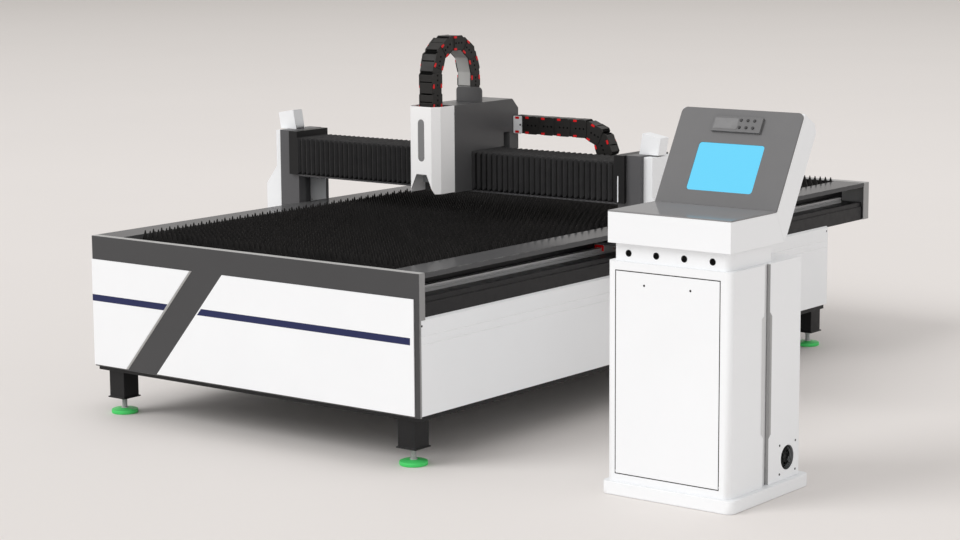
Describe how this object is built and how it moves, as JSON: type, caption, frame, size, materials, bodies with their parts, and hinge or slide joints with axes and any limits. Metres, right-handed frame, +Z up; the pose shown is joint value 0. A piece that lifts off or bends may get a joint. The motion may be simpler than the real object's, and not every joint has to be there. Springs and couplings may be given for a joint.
{
  "type": "cnc plasma cutting machine",
  "caption": "Plasma cutting table: saw-tooth slat bed, gantry on side rails, bellows-covered cross carriage with lifting torch head and drag chains, free-standing control console.",
  "frame": {"origin": "on the floor under the middle of the whole machine's bounding box", "axes": "+X to the right along the table's front, towards the console; +Y away along the long side; +Z up"},
  "size_m": [3.826, 4.071, 1.8207],
  "materials": {
    "white_paint": "satin white powder coat",
    "grey_paint": "semi-gloss mid grey paint",
    "rim_grey": "gloss light grey paint",
    "charcoal_paint": "satin charcoal paint",
    "black_paint": "satin black paint",
    "steel": "ground steel",
    "dark_steel": "blackened steel",
    "aluminium": "milled aluminium",
    "motor_black": "black motor paint",
    "bellows_fabric": "pleated coated fabric",
    "chain_plastic": "moulded plastic",
    "pad_green": "moulded plastic",
    "torch_body": "moulded handle with metal tip",
    "screen_glass": "lit display",
    "key_plastic": "moulded plastic"
  },
  "bodies": {
    "table": {"table_frame": "black_paint", "table_legs": "black_paint", "foot_studs": "steel", "foot_pads": "pad_green", "front_fascia": "grey_paint", "front_panels": "white_paint", "rear_end_plate": "rim_grey", "side_panels": "white_paint", "rear_panel": "white_paint", "side_beam_left": "charcoal_paint", "side_beam_right": "charcoal_paint", "top_flanges": "rim_grey", "long_rails": "steel", "long_racks": "dark_steel", "slats": "dark_steel", "slat_supports": "black_paint", "slag_tray": "dark_steel", "console_plinth": "white_paint", "console_cabinet": "white_paint", "console_rear": "white_paint", "console_desk": "white_paint", "desk_plate": "grey_paint", "screen_housing": "white_paint", "screen_face": "grey_paint", "screen": "screen_glass", "key_box": "grey_paint"},
    "gantry": {"gantry_post_left": "grey_paint", "gantry_post_right": "grey_paint", "guide_blocks": "steel", "long_drives": "motor_black", "post_covers": "white_paint", "end_hoods": "white_paint", "gantry_beam": "grey_paint", "cross_rails": "steel", "bellows_frames": "black_paint", "bellows_left": "bellows_fabric", "bellows_right": "bellows_fabric", "chain_tray": "charcoal_paint", "run_chain": "chain_plastic"},
    "carriage": {"carriage_saddle": "grey_paint", "carriage_plate": "aluminium", "cross_blocks": "steel", "cross_motor": "motor_black", "chain_brackets": "charcoal_paint", "lift_drive": "aluminium", "arch_chain": "chain_plastic"},
    "torch_head": {"torch_housing": "white_paint", "lift_plate": "aluminium", "torch": "torch_body"},
    "long_pinion_left": {"long_pinion_left": "steel"},
    "long_pinion_right": {"long_pinion_right": "steel"},
    "cross_pinion": {"cross_pinion": "steel"},
    "lift_screw": {"lift_screw": "steel"},
    "console_door": {"console_door": "white_paint"},
    "key_1": {"key_1": "key_plastic"},
    "key_2": {"key_2": "key_plastic"},
    "key_3": {"key_3": "key_plastic"},
    "key_4": {"key_4": "key_plastic"},
    "key_5": {"key_5": "key_plastic"},
    "key_6": {"key_6": "key_plastic"}
  },
  "joints": [
    {"name": "gantry_travel", "type": "slide", "parent": "table", "child": "gantry", "axis": [0, 1, 0], "range_m": [-1.15, 1.85]},
    {"name": "carriage_travel", "type": "slide", "parent": "gantry", "child": "carriage", "axis": [1, 0, 0], "range_m": [-0.79, 0.71], "deforming": ["bellows_left", "bellows_right", "run_chain"]},
    {"name": "torch_lift", "type": "slide", "parent": "carriage", "child": "torch_head", "axis": [0, 0, 1], "range_m": [-0.11, 0.06], "deforming": ["arch_chain"]},
    {"name": "long_pinion_left_spin", "type": "hinge", "parent": "gantry", "child": "long_pinion_left", "pos_m": [-1.588, -0.3875, 0.8277], "axis": [1, 0, 0], "continuous": true},
    {"name": "long_pinion_right_spin", "type": "hinge", "parent": "gantry", "child": "long_pinion_right", "pos_m": [0.352, -0.3875, 0.8277], "axis": [1, 0, 0], "continuous": true},
    {"name": "cross_pinion_spin", "type": "hinge", "parent": "carriage", "child": "cross_pinion", "pos_m": [-0.558, -0.3768, 1.21], "axis": [0, 0, 1], "continuous": true},
    {"name": "lift_screw_spin", "type": "hinge", "parent": "carriage", "child": "lift_screw", "pos_m": [-0.558, -0.5995, 1.2], "axis": [0, 0, 1], "continuous": true},
    {"name": "door_hinge", "type": "hinge", "parent": "table", "child": "console_door", "pos_m": [1.581, -1.8435, 0.102], "axis": [1, 0, 0], "range_deg": [0, 88]},
    {"name": "key_1_press", "type": "slide", "parent": "table", "child": "key_1", "axis": [0, 0.8721, -0.4894], "range_m": [0, 0.003], "stiffness_N_per_m": 400},
    {"name": "key_2_press", "type": "slide", "parent": "table", "child": "key_2", "axis": [0, 0.8721, -0.4894], "range_m": [0, 0.003], "stiffness_N_per_m": 400},
    {"name": "key_3_press", "type": "slide", "parent": "table", "child": "key_3", "axis": [0, 0.8721, -0.4894], "range_m": [0, 0.003], "stiffness_N_per_m": 400},
    {"name": "key_4_press", "type": "slide", "parent": "table", "child": "key_4", "axis": [0, 0.8721, -0.4894], "range_m": [0, 0.003], "stiffness_N_per_m": 400},
    {"name": "key_5_press", "type": "slide", "parent": "table", "child": "key_5", "axis": [0, 0.8721, -0.4894], "range_m": [0, 0.003], "stiffness_N_per_m": 400},
    {"name": "key_6_press", "type": "slide", "parent": "table", "child": "key_6", "axis": [0, 0.8721, -0.4894], "range_m": [0, 0.003], "stiffness_N_per_m": 400}
  ],
  "couplings": [
    {"joint": "long_pinion_left_spin", "follows": "gantry_travel", "rad_per_m": 41.667},
    {"joint": "long_pinion_right_spin", "follows": "gantry_travel", "rad_per_m": 41.667},
    {"joint": "cross_pinion_spin", "follows": "carriage_travel", "rad_per_m": 45.455},
    {"joint": "lift_screw_spin", "follows": "torch_lift", "rad_per_m": 628.32}
  ]
}
